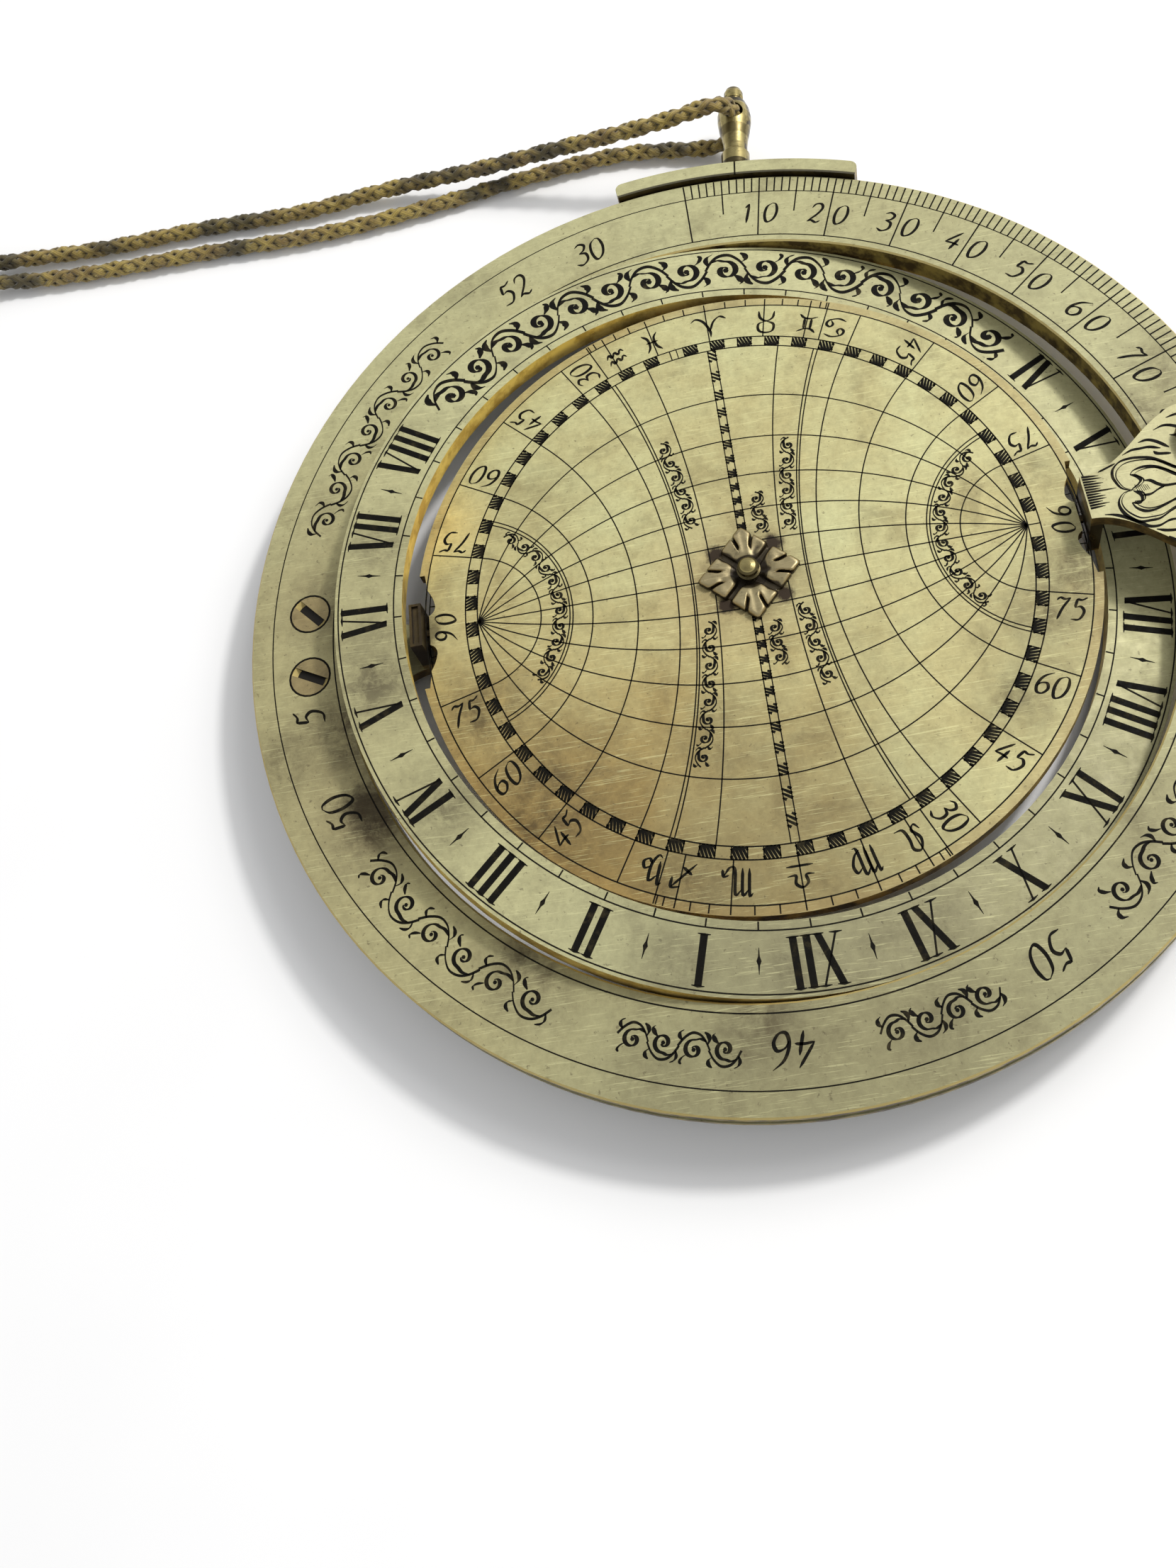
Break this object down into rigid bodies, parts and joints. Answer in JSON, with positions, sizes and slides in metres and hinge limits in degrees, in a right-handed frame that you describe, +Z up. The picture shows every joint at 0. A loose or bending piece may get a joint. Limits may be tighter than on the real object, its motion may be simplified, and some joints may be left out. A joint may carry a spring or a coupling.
{
  "type": "astrolabe",
  "caption": "Flat brass universal ring dial with an astrolabe plate in its middle, hung by a braided cord from a slider on its rim, for telling time and latitude.",
  "frame": {"origin": "on the surface the instrument lies on, under the centre of its rings, at the flat end of the thumb nut", "axes": "+Z up out of the engraved face, +X to the north celestial pole and its bracket, +Y to the zero of the latitude scale"},
  "size_m": [0.2275, 0.1724, 0.016],
  "materials": {
    "ring_brass": "aged satin, engraved",
    "hour_brass": "aged satin, engraved",
    "plate_brass": "aged satin, engraved",
    "bracket_brass": "aged satin, engraved",
    "screw_brass": "worn",
    "dark_brass": "tarnished",
    "finial_brass": "tarnished, bright on the high spots",
    "cord": "braided silk, worn"
  },
  "bodies": {
    "ring": {"meridian_ring": "ring_brass", "hour_ring_pivots": "dark_brass", "polar_pivots": "dark_brass", "north_bracket": "bracket_brass", "south_bracket": "bracket_brass", "north_bracket_screws": "screw_brass", "south_bracket_screws": "screw_brass", "north_bracket_nuts": "dark_brass", "south_bracket_nuts": "dark_brass"},
    "hour": {"hour_ring": "hour_brass"},
    "plate": {"planisphere_plate": "plate_brass"},
    "alidade": {"centre_pin": "finial_brass", "rosette_washer": "dark_brass", "spring_washer": "dark_brass", "alidade_rule": "bracket_brass", "sight_vane_upper": "bracket_brass", "sight_vane_lower": "bracket_brass", "nut_washer": "dark_brass", "thumb_nut": "screw_brass"},
    "slider": {"suspension_slider": "ring_brass", "slider_gib": "dark_brass", "slider_screws": "screw_brass"},
    "swivel": {"finial": "finial_brass", "finial_burr": "dark_brass", "cord_upper": "cord", "cord_lower": "cord", "cord_knot": "cord"}
  },
  "joints": [
    {"name": "hour_ring_opening", "type": "hinge", "parent": "ring", "child": "hour", "pos_m": [0, 0, 0.008], "axis": [0, 1, 0], "range_deg": [-5.9, 84.1]},
    {"name": "plate_polar_turn", "type": "hinge", "parent": "ring", "child": "plate", "pos_m": [0, 0, 0.008], "axis": [1, 0, 0], "continuous": true},
    {"name": "alidade_turn", "type": "hinge", "parent": "plate", "child": "alidade", "pos_m": [0, 0, 0.008], "axis": [0, 0, 1], "continuous": true},
    {"name": "slider_travel", "type": "hinge", "parent": "ring", "child": "slider", "pos_m": [0, 0, 0.008], "axis": [0, 0, 1], "range_deg": [-83.1, 6.8]},
    {"name": "finial_swivel", "type": "hinge", "parent": "slider", "child": "swivel", "pos_m": [0.00945, 0.07843, 0.008], "axis": [0.1196, 0.9928, 0], "continuous": true}
  ]
}
